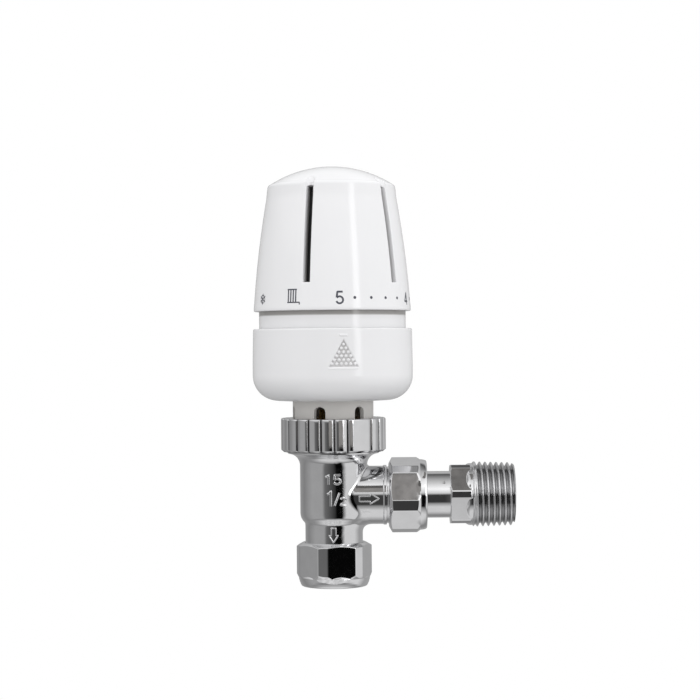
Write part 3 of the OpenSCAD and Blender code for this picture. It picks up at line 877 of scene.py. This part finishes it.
def nut_points(height, edge, ring_h, fillet_h, taper_h, hole_r, turn):
    """A compression nut standing on its round mouth, hexagon above, thread bore inside."""
    flat, corner = NUT_FLATS / 2, NUT_FLATS / math.sqrt(3)
    ring_r = edge[-1][0]
    swept = [(ring_r + 0.1 + (corner - ring_r) * s ** 1.25, ring_h + (taper_h - ring_h) * s)
             for s in np.linspace(0.05, 1, 8)]
    outline = edge + swept + [(corner + 0.3, taper_h + 0.2), (corner + 0.3, height - 1.75),
                              (corner - 0.2, height - 1.35), (10.35, height)]
    # a hollow fillet leads from the ring down to each flat
    fillet = [(flat - 0.1 + (ring_r - flat + 0.1) * (1 - s) ** 1.3, ring_h + fillet_h * s)
              for s in np.linspace(0.02, 1, 10)]
    floor = edge + fillet + [(flat - 1.5, ring_h + fillet_h + 0.6), (8.0, height)]
    levels = np.concatenate([np.arange(0, ring_h, 0.14), np.arange(ring_h, taper_h + 0.6, 0.12),
                             np.linspace(taper_h + 0.9, height - 2.2, 8),
                             np.arange(height - 2.0, height + 0.001, 0.1)])
    walls = hexagon_part(NUT_FLATS, NUT_BEVEL, turn, outline, floor, levels)
    turns = hexagon_turns() + turn
    mouth = ((hole_r, 3.0), (hole_r, 0.3), (hole_r + 0.08, 0.08), (hole_r + 0.3, 0))
    bore = ((10.05, height), (9.75, height - 0.03), (NUT_THREAD_R, height - 0.25),
            (NUT_THREAD_R, height - 3), (NUT_THREAD_R, 4.9))
    return np.array([polar(r, turns, z) for r, z in mouth] + list(walls)
                    + [polar(r, turns, z) for r, z in bore])


def make_compression_nut():
    height = NUT_HIGH[2] - NUT_LOW[2]
    edge = [(10.4, 0), (10.7, 0.12), (11.0, 0.6), (11.28, 1.3), (11.53, 2.1), (11.7, 3.0)]
    points = nut_points(height, edge, 3.0, 0.9, 5.2, PIPE_R, NUT_TURN)
    make_object("compression_nut_hexagon", points, None, "inlet_nut_group", NUT_CHROME,
                ["compression_nut"])


def make_union_nut():
    height = UNION_HIGH[0] - UNION_LOW[0]
    edge = [(10.8, 0), (11.1, 0.14), (11.28, 0.5), (11.42, 1.1), (11.5, 1.7), (11.52, 2.2)]
    points = nut_points(height, edge, 2.2, 1.9, 4.0, PIPE_R + 0.08, UNION_TURN)
    # the nut's mouth looks towards +X, so it is turned end for end
    points = along_x(points * np.array([1, 1, -1]) + np.array([0, 0, UNION_HIGH[0]]))
    make_object("union_nut_hexagon", points, None, "union_nut_group", NUT_CHROME,
                ["union_nut"])


# ---------------- tail piece

HEX_START, THREAD_START = 38.1, 44.9
TAIL_BORE = 6.0
# half inch pipe thread: crest radius near its start, and the length in which the radius falls by 1
CREST_R, CREST_X, TAPER_LENGTH = 10.64, 1.2, 32
THREAD_PITCH, THREAD_DEPTH = 1.814, 1.16
RELIEF_R = 10.1
GROOVE_SHADE = (0.52, 0.52, 0.52)


def thread_radius(x, turns):
    """Radius of the tapered thread at a length along the tail and an azimuth about it."""
    crest = CREST_R - (x - THREAD_START - CREST_X) / TAPER_LENGTH
    phase = ((x - (THREAD_START + 1.55)) / THREAD_PITCH + turns / 360) % 1.0
    t = np.abs(phase - 0.5) * 2
    ridge = np.clip((1 - t) * 1.32 - 0.16, 0, 1)
    ridge = ridge * ridge * (3 - 2 * ridge) * 0.45 + ridge * 0.55
    fade_in = np.clip((x - THREAD_START - 0.5) / 1.2, 0, 1)
    tip = CREST_R - (TAIL_HIGH[0] - THREAD_START) / TAPER_LENGTH - 0.75
    chamfer = tip + (TAIL_HIGH[0] - x) * 0.95
    relief = RELIEF_R + np.clip((x - THREAD_START - 0.3) * 1.2, 0, 3)
    radius = crest - THREAD_DEPTH * ridge * fade_in
    return soft_min(soft_min(radius, chamfer + 0 * radius, 0.15), relief + 0 * radius, 0.15)


def make_tail():
    start, end = TAIL_LOW[0], TAIL_HIGH[0]
    turns = hexagon_turns() + TAIL_TURN
    corner = TAIL_FLATS / math.sqrt(3)
    spigot = [(TAIL_BORE, start + 0.3), (6.25, start), (7.3, start), (7.5, start + 0.1),
              (PIPE_R, start + 0.35)]
    spigot += [(PIPE_R, x) for x in np.linspace(start + 1, HEX_START - 0.25, 14)]
    spigot += [(7.63, HEX_START - 0.1), (7.75, HEX_START - 0.01), (8.3, HEX_START)]
    outline = [(10.2, HEX_START), (corner - 0.1, HEX_START + 0.2), (corner + 0.4, HEX_START + 0.5),
               (corner + 0.4, THREAD_START - 1.0), (corner - 0.3, THREAD_START - 0.6),
               (RELIEF_R, THREAD_START)]
    floor = [(8.0, HEX_START), (8.6, THREAD_START - 2.2), (9.45, THREAD_START - 1.9),
             (9.75, THREAD_START - 1.5), (10.0, THREAD_START - 1.0), (RELIEF_R, THREAD_START - 0.5),
             (RELIEF_R, THREAD_START)]
    levels = np.concatenate([np.linspace(HEX_START + 0.01, HEX_START + 1.3, 12),
                             np.linspace(HEX_START + 1.6, THREAD_START - 2.0, 6),
                             np.linspace(THREAD_START - 1.95, THREAD_START, 22)])
    xs = np.arange(THREAD_START + 0.1, end, 0.085)[:, None]
    bore = [(8.6, end - 0.02), (8.3, end), (6.4, end), (6.1, end - 0.12), (TAIL_BORE, end - 0.4)]
    bore += [(TAIL_BORE, x) for x in np.linspace(end - 3, start + 3, 8)]
    rows = [polar(r, turns, x) for r, x in spigot]
    rows += list(hexagon_part(TAIL_FLATS, TAIL_BEVEL, TAIL_TURN, outline, floor, levels))
    rows += list(polar(thread_radius(xs, turns[None, :]), turns[None, :], xs))
    rows += [polar(r, turns, x) for r, x in bore]
    points = along_x(np.array(rows))
    crest = ((CREST_R + (THREAD_START + CREST_X) / TAPER_LENGTH) * MM, -1 / TAPER_LENGTH, 0.0)
    shaded_below(TAIL_CHROME, crest, 0.2 * MM, 0.9 * MM, (THREAD_START + 0.8) * MM, end * MM, GROOVE_SHADE,
                 lying=True)
    make_object("tail_piece_threaded", points, None, "tail_group", TAIL_CHROME,
                ["tail_piece"], sharp=60)


# ---------------- valve body

NECK_R, LOWER_NECK_R, BARREL_R = 9.5, 9.4, 11.0
NECK_END = 16.0
BLEND_TOP, BLEND_LOW = 0.9, 2.7
BODY_BORE, BONNET_BORE, SEAT_BORE = 6.0, 8.8, 5.0
BODY_OUTLINE = np.array(
    [(9.05, 5.8), (LOWER_NECK_R, 6.15)] + [(LOWER_NECK_R, z) for z in (14.0, 16.0, 18.0, 19.6, 20.2)]
    + [(9.43, 20.45), (9.55, 20.68), (9.8, 20.95), (10.18, 21.35), (10.5, 21.8), (10.75, 22.35),
       (10.92, 22.95)]
    + [(BARREL_R, z) for z in (23.7, 27, 30, 33, 36, 38.6)]
    + [(BARREL_R + 4.0 * (1 - math.cos(math.radians(a))), 39.4 + 3.9 * math.sin(math.radians(a)))
       for a in np.linspace(4, 88, 14)]
    + [(14.95, 43.45), (14.95, 44.2)])


def body_radius(z):
    return np.interp(z, BODY_OUTLINE[:, 1], BODY_OUTLINE[:, 0])


def make_valve_body():
    cols, back_cols, patch = 144, 90, 12
    phi = np.linspace(0, 360, cols, endpoint=False)
    sin, cos = np.sin(np.radians(phi)), np.cos(np.radians(phi))

    def on_barrel(y, z):
        return np.stack([np.sqrt(np.clip(body_radius(z) ** 2 - y ** 2, 0, None)), y, z], axis=-1)

    blend = BLEND_TOP + (BLEND_LOW - BLEND_TOP) * np.clip(-cos, 0, 1) ** 1.5
    outer = on_barrel(-(NECK_R + blend) * sin, OUTLET_Z + (NECK_R + blend) * cos)
    corner = on_barrel(-NECK_R * sin, OUTLET_Z + NECK_R * cos)
    onto = corner + np.stack([blend * 1.2, 0 * blend, 0 * blend], axis=-1)
    # a patch of the barrel, from a rectangle in azimuth and height to the round opening
    z_low, z_high, half_turn = 14.0, 41.8, 88.0
    reach = np.where(cos >= 0, z_high - OUTLET_Z, OUTLET_Z - z_low)
    stretch = 1 / np.maximum(np.abs(sin), np.abs(cos))
    edge_turn = 90 + half_turn * np.clip(-sin * stretch, -1, 1)
    edge_z = OUTLET_Z + reach * np.clip(cos * stretch, -1, 1)
    hole_turn, hole_z = np.degrees(np.arctan2(outer[:, 0], -outer[:, 1])), outer[:, 2]
    rings = []
    for t in np.arange(patch) / patch:
        z = edge_z + (hole_z - edge_z) * t
        rings.append(polar(body_radius(z), edge_turn + (hole_turn - edge_turn) * t, z))
    rings.append(outer)
    for t in np.linspace(0, 1, 8)[1:]:
        rings.append(outer * (1 - t) ** 2 + corner * 2 * t * (1 - t) + onto * t * t)
    target = onto.copy()
    target[:, 0] = NECK_END
    rings += [onto + (target - onto) * t for t in (0.3, 0.65, 1.0)]
    # a bead and a groove end the neck. A plain cylinder stands for the union's thread, then come the pipe
    # socket and the bore.
    end, socket = BODY_HIGH[0], PIPE_R + 0.06
    for r, x in ((9.52, 16.12), (9.6, 16.2), (9.7, 16.3), (9.74, 16.42), (9.74, 17.1), (9.7, 17.22),
                 (9.6, 17.3), (9.2, 17.32), (9.2, 17.7), (9.4, 17.9), (9.4, end - 0.3), (9.1, end),
                 (8.8, end), (socket, end - 2.3), (socket, 12.5), (BODY_BORE, 12.5), (BODY_BORE, 8.0)):
        rings.append(np.stack([np.full(cols, float(x)), -r * sin, OUTLET_Z + r * cos], axis=-1))
    solids = [(np.array(rings).reshape(-1, 3), grid_faces(len(rings), cols, closed_rows=False))]

    def edge_of(distance, order):
        return sorted((i for i in range(cols) if abs(distance[i]) < 1e-9), key=lambda i: order[i])

    # the rest of the barrel, whose edge on the outlet side is that same rectangle
    top, bottom = edge_of(edge_z - z_high, edge_turn), edge_of(edge_z - z_low, edge_turn)
    left_z = edge_z[edge_of(edge_turn - (90 - half_turn), edge_z)]
    back_turns = np.linspace(90 + half_turn, 360 + 90 - half_turn, back_cols)
    back = polar(body_radius(left_z)[:, None], back_turns[None, :], left_z[:, None])
    faces = [(i + j, i + j + 1, i + back_cols + j + 1, i + back_cols + j)
             for i in range(0, (len(left_z) - 1) * back_cols, back_cols) for j in range(back_cols - 1)]
    solids.append((back.reshape(-1, 3), faces))
    high = BODY_HIGH[2]
    above = (42.2, 42.6, 42.9, 43.1, 43.25, 43.35, 43.45, 44.0, high - 0.5)
    head = ((14.5, high), (10.2, high), (10.2, 41.3), (BONNET_BORE, 41.3), (BONNET_BORE, 23.0),
            (BODY_BORE, 23.0), (5.9, 24.0), (5.1, 24.0), (SEAT_BORE, 23.8), (SEAT_BORE, 17.5))
    inlet = ((9.05, 5.8), (8.75, 5.8), (PIPE_R, 8.0), (PIPE_R, 17.5), (SEAT_BORE, 17.5))
    for edge, heights, inside in ((top, above, head), (bottom, (12.0, 10.0, 8.0, 6.2), inlet)):
        turns = np.concatenate([edge_turn[edge], back_turns[1:-1]])
        outside = [(body_radius(z), z) for z in (edge_z[edge[0]], *heights)]
        rows = np.array([polar(r, turns, z) for r, z in (*outside, *inside)])
        solids.append((rows.reshape(-1, 3), grid_faces(len(rows), len(turns), closed_rows=False)))
    points, faces = joined(solids)
    make_object("valve_body_casting", points, faces, "valve", BODY_CHROME, ["valve_body"])


# ---------------- cast marks on the body

MARK_HEIGHT = 0.38
# text, size, left edge, foot, line width and stretch
MARKS = (("1", 3.2, -1.9, 33.7, 0.8, 1.35), ("5", 3.2, 1.2, 33.7, 0.8, 1.35),
         ("1", 5.1, -1.2, 26.7, 0.8, 1.0), ("2", 2.6, 3.2, 26.9, 0.7, 1.35))


def arrow_outline(length, shaft, head_l, head_w):
    neck = length - head_l
    return [(0, -shaft / 2), (neck, -shaft / 2), (neck, -head_w / 2), (length, 0), (neck, head_w / 2),
            (neck, shaft / 2), (0, shaft / 2)]


def ridge(path, width, height, place, closed=False):
    """A cast line standing on a surface: half round across, laid along a path."""
    path = np.array(path, float)
    if closed:
        path = np.concatenate([path, path[:1]])
    path = subdivided(path, 0.35, closed=False)
    if closed:
        path = path[:-1]
    before, after = np.roll(path, 1, axis=0), np.roll(path, -1, axis=0)
    if not closed:
        before[0], after[-1] = path[0], path[-1]
    along = after - before
    along /= np.linalg.norm(along, axis=1, keepdims=True)
    side = np.stack([-along[:, 1], along[:, 0]], axis=1)
    across = [(-0.5, -0.2)] + [(-0.5 * math.cos(a), height * math.sin(a)) for a in np.linspace(0, math.pi, 7)]
    across += [(0.5, -0.2)]
    points = np.stack([place(path + side * (u * width), lift) for u, lift in across], axis=1)
    faces = grid_faces(len(path), len(across), closed_rows=closed)
    if not closed:
        faces += end_faces(len(path), len(across))
    return points.reshape(-1, 3), faces


def on_outlet(flat, lift):
    """u runs along the outlet, v climbs round it from the camera side."""
    radius = NECK_R + lift
    a = flat[:, 1] / NECK_R - 0.06
    return np.stack([8.3 + flat[:, 0], -radius * np.cos(a), OUTLET_Z + radius * np.sin(a)], axis=-1)


def on_lower_neck(flat, lift):
    """u runs down the neck, v round it."""
    return polar(LOWER_NECK_R + lift, -0.8 + np.degrees(flat[:, 1] / LOWER_NECK_R), 19.5 - flat[:, 0])


def on_front(flat, lift):
    """u runs round the barrel, v up it."""
    return polar(BARREL_R + lift, np.degrees(flat[:, 0] / BARREL_R), flat[:, 1])


def make_marks():
    """Generic cast marks: two flow arrows, the pipe size and the thread size."""
    solids = [ridge(arrow_outline(6.4, 1.7, 2.9, 3.4), 0.5, 0.3, on_outlet, closed=True),
              ridge(arrow_outline(4.7, 1.5, 2.3, 2.9), 0.5, 0.3, on_lower_neck, closed=True)]
    for text, size, left, foot, width, stretch in MARKS:
        for path in DIGITS[text]:
            flat = np.array(path) * size * np.array([stretch, 1]) + np.array([left, foot])
            solids.append(ridge(flat, width, MARK_HEIGHT, on_front))
    solids.append(ridge([(0.3, 26.9), (1.9, 31.0)], 0.7, 0.36, on_front))
    points, faces = joined(solids)
    make_object("cast_marks", points, faces, "valve", BODY_CHROME, sharp=60)


# ---------------- camera, light and floor

CAMERA_LENS, CAMERA_SENSOR = 100, 36
CAMERA_PLACE = (5.69, -637, 77.0)
CAMERA_ROLL = -0.48


def add_object(name, data):
    obj = bpy.data.objects.new(name, data)
    bpy.context.scene.collection.objects.link(obj)
    return obj


def make_camera():
    data = bpy.data.cameras.new("camera")
    data.lens, data.sensor_width, data.clip_end = CAMERA_LENS, CAMERA_SENSOR, 20
    camera = add_object("camera", data)
    camera.location = np.array(CAMERA_PLACE) * MM
    roll = Euler((0, 0, math.radians(CAMERA_ROLL))).to_matrix()
    camera.rotation_euler = (Euler((math.radians(90), 0, 0)).to_matrix() @ roll).to_euler()
    bpy.context.scene.camera = camera


PER_RADIAN, PER_DEGREE = 57.29578, 0.0174533
CHROME_SHARE = 0.82
RAMP_SPAN = 1.3

# brightness as chrome shows it, 0 for black and 1 for white
# by elevation in front: pale floor, dark room, large softbox, ceiling
FRONT_LEVELS = [(-90, 0.8), (-60, 0.8), (-45, 0.6), (-30, 0.2), (0, 0.1), (10, 0.8), (30, 1.0), (60, 0.8),
                (90, 0.6)]
# by elevation behind: floor, backdrop, a dark boom, ceiling
BACK_LEVELS = [(-90, 0.8), (-60, 0.5), (0, 0.6), (45, 0.7), (60, 0.3), (90, 0.6)]
# round the sides: grey wall on the left, black screen in front, pale wall on the right
SIDE_LEVELS = [(-180, 0.6), (-120, 0.5), (-80, 0.6), (-40, 0.6), (-30, 0.4), (5, 0.2), (10, 0.05),
               (30, 0.05), (45, 0.8), (90, 0.8), (120, 0.6), (180, 0.6)]
# the walls' foot, their top edge in front and how much higher it is behind
WALL_FOOT, WALL_TOP, WALL_RISE = -37, 2.0, 13.0
# a narrow bright gap beside the screens, above the valve, in light and not in chrome's brightness
GAP_SIDES, GAP_HEIGHTS, GAP_LIGHT = (32.5, 42.0), (-1.8, 30), 3.8
# light on dull surfaces: all round, more from above, less from below, more from the right
DULL_ROUND, DULL_ABOVE, DULL_BELOW, DULL_RIGHT = 1.12, 0.30, 0.85, 0.10


def chrome_light(level):
    """Light that chrome shows as a given brightness, from 0 for black to 1 for white."""
    return level ** 2.2 / CHROME_SHARE


class Surroundings(Nodes):
    """The studio round the valve: brightness as a function of direction."""

    def __init__(self):
        world = bpy.data.worlds.new("studio")
        world.use_nodes = True
        bpy.context.scene.world = world
        super().__init__(world.node_tree)
        self.tree.nodes.clear()
        self.x, y, self.z = self.split(self.add("TexCoord").outputs["Generated"])
        turn = self.math("ARCTAN2", self.x, self.math("MULTIPLY", y, -1.0))
        self.azimuth = self.math("MULTIPLY", turn, PER_RADIAN)
        self.height = self.math("MULTIPLY", self.math("ARCSINE", self.z), PER_RADIAN)

    def step(self, value, at, soft):
        """0 below at, 1 above it, over a soft width."""
        return self.ranged(value, 0.0, 1.0, at - soft, at + soft, interpolation_type="SMOOTHSTEP")

    def window(self, value, edges, soft_low, soft_high):
        fall = self.math("SUBTRACT", 1.0, self.step(value, edges[1], soft_high))
        return self.math("MULTIPLY", self.step(value, edges[0], soft_low), fall)

    def mix(self, mask, base, value):
        """base where the mask is 0, value where it is 1."""
        change = self.math("SUBTRACT", value, base)
        return self.math("ADD", base, self.math("MULTIPLY", mask, change))

    def tones(self, value, reach, levels):
        """Light along an angle from -reach to reach, from (angle, brightness in chrome) stops."""
        stops = [((angle + reach) / (2 * reach), [chrome_light(level) / RAMP_SPAN] * 3)
                 for angle, level in levels]
        share = self.math("DIVIDE", self.math("SUBTRACT", value, -reach), 2 * reach)
        return self.math("MULTIPLY", self.ramp(share, stops), RAMP_SPAN)

    def background(self, light):
        color = self.add("CombineColor", {k: light for k in range(3)}).outputs[0]
        return self.add("Background", {"Color": color}).outputs[0]

    def choose(self, factor, first, second):
        return self.add("MixShader", {"Fac": factor, 1: first, 2: second}).outputs[0]

    def finish(self, reflected, diffuse):
        rays = self.add("LightPath").outputs
        seen = self.choose(rays["Is Diffuse Ray"], self.background(reflected), self.background(diffuse))
        seen = self.choose(rays["Is Camera Ray"], seen, self.background(1.0))
        self.add("OutputWorld", {"Surface": seen})


def make_surroundings():
    w = Surroundings()
    calc, az, el = w.math, w.azimuth, w.height
    front, back = w.tones(el, 90, FRONT_LEVELS), w.tones(el, 90, BACK_LEVELS)
    facing = w.step(calc("COSINE", calc("MULTIPLY", az, PER_DEGREE)), 0.0, 0.7)
    level = w.mix(facing, back, front)
    # walls and screens stand between the floor and the overhead softbox
    behind = w.step(calc("ABSOLUTE", az), 45, 12)
    over = calc("SUBTRACT", el, calc("ADD", WALL_TOP, calc("MULTIPLY", behind, WALL_RISE)))
    walls = calc("MULTIPLY", w.step(el, WALL_FOOT, 4.0), calc("SUBTRACT", 1.0, w.step(over, 0.0, 2.5)))
    level = w.mix(walls, level, w.tones(az, 180, SIDE_LEVELS))
    gap = calc("MULTIPLY", w.window(az, GAP_SIDES, 0.7, 0.7), w.window(el, GAP_HEIGHTS, 0.6, 6.0))
    level = w.mix(gap, level, GAP_LIGHT)
    diffuse = calc("ADD", DULL_ROUND, calc("MULTIPLY", calc("MAXIMUM", w.z, 0.0), DULL_ABOVE))
    diffuse = calc("ADD", diffuse, calc("MULTIPLY", calc("MINIMUM", w.z, 0.0), DULL_BELOW))
    diffuse = calc("ADD", diffuse, calc("MULTIPLY", w.x, DULL_RIGHT))
    w.finish(level, diffuse)


# below the inlet nut when it is fully unscrewed
FLOOR_Z = -7.5
FLOOR_HALF, FLOOR_CELLS = 6.0, 8


def make_floor():
    """A white floor that only the camera sees."""
    work = bmesh.new()
    bmesh.ops.create_grid(work, x_segments=FLOOR_CELLS, y_segments=FLOOR_CELLS, size=FLOOR_HALF)
    mesh = bpy.data.meshes.new("floor")
    work.to_mesh(mesh)
    work.free()
    floor = add_object("floor", mesh)
    floor.location = (0, 0, FLOOR_Z * MM)
    material = bpy.data.materials.new("pale_floor")
    material.use_nodes = True
    nodes = Nodes(material.node_tree)
    nodes.tree.nodes.clear()
    glow = nodes.add("Emission", {"Color": (1, 1, 1, 1)})
    nodes.add("OutputMaterial", {"Surface": glow.outputs[0]})
    mesh.materials.append(material)
    for kind in ("glossy", "diffuse", "shadow"):
        setattr(floor, "visible_" + kind, False)


def make_flag(name, centre, size, elevation, levels, warm=0.04):
    """A glowing card that only reflections show. It stands upright at elevation 0 and lies flat at 90, and
    levels run from its lower edge to its upper one."""
    wide, tall = size[0] / 2, size[1] / 2
    corners = np.array([(-wide, -tall), (wide, -tall), (wide, tall), (-wide, tall)]) * MM
    mesh = bpy.data.meshes.new(name)
    mesh.from_pydata([(u, 0, v) for u, v in corners.tolist()], [], [(0, 1, 2, 3)])
    card = add_object(name, mesh)
    card.location = np.array(centre) * MM
    card.rotation_euler = (math.radians(elevation), 0, 0)
    material, nodes, shader, place = new_material(name)
    lights = [(share, chrome_light(level)) for share, level in levels]
    stops = [(share, (light * (1 + warm), light, light * (1 - warm))) for share, light in lights]
    height = nodes.ranged(nodes.split(place)["Z"], 0.0, 1.0, -tall * MM, tall * MM)
    nodes.feed(shader, {
        "Base Color": (0, 0, 0, 1),
        "Emission Color": nodes.ramp(height, stops),
        "Emission Strength": nodes.ranged(nodes.noise(place, 300, 4, 0.7), 0.65, 1.35)})
    mesh.materials.append(material)
    for kind in ("camera", "diffuse", "shadow", "transmission", "volume_scatter"):
        setattr(card, "visible_" + kind, False)


def make_flags():
    """Three cards that darken or lighten single faces of the nuts."""
    make_flag("flag_union", (13.5, -60, 61), (32, 34), 0, [(0, 0.5), (0.5, 0.5), (0.6, 0.3), (1, 0.3)])
    make_flag("flag_low", (0, -20.5, 0.1), (24, 15), 90, [(0, 0.75), (1, 0.75)], warm=0.0)
    make_flag("flag_tail", (42.5, -20, 65), (10, 26), 60, [(0, 0.4), (1, 0.4)])


def make_studio():
    bpy.context.scene.view_settings.view_transform = "Standard"
    make_surroundings()
    make_floor()
    make_flags()


make_camera()
finish_cad_nodes()
make_springs()
make_cap()
make_scale()
make_collar()
make_guide_ring()
make_sleeve()
make_head_nut()
make_compression_nut()
make_union_nut()
make_tail()
make_valve_body()
make_marks()
make_studio()
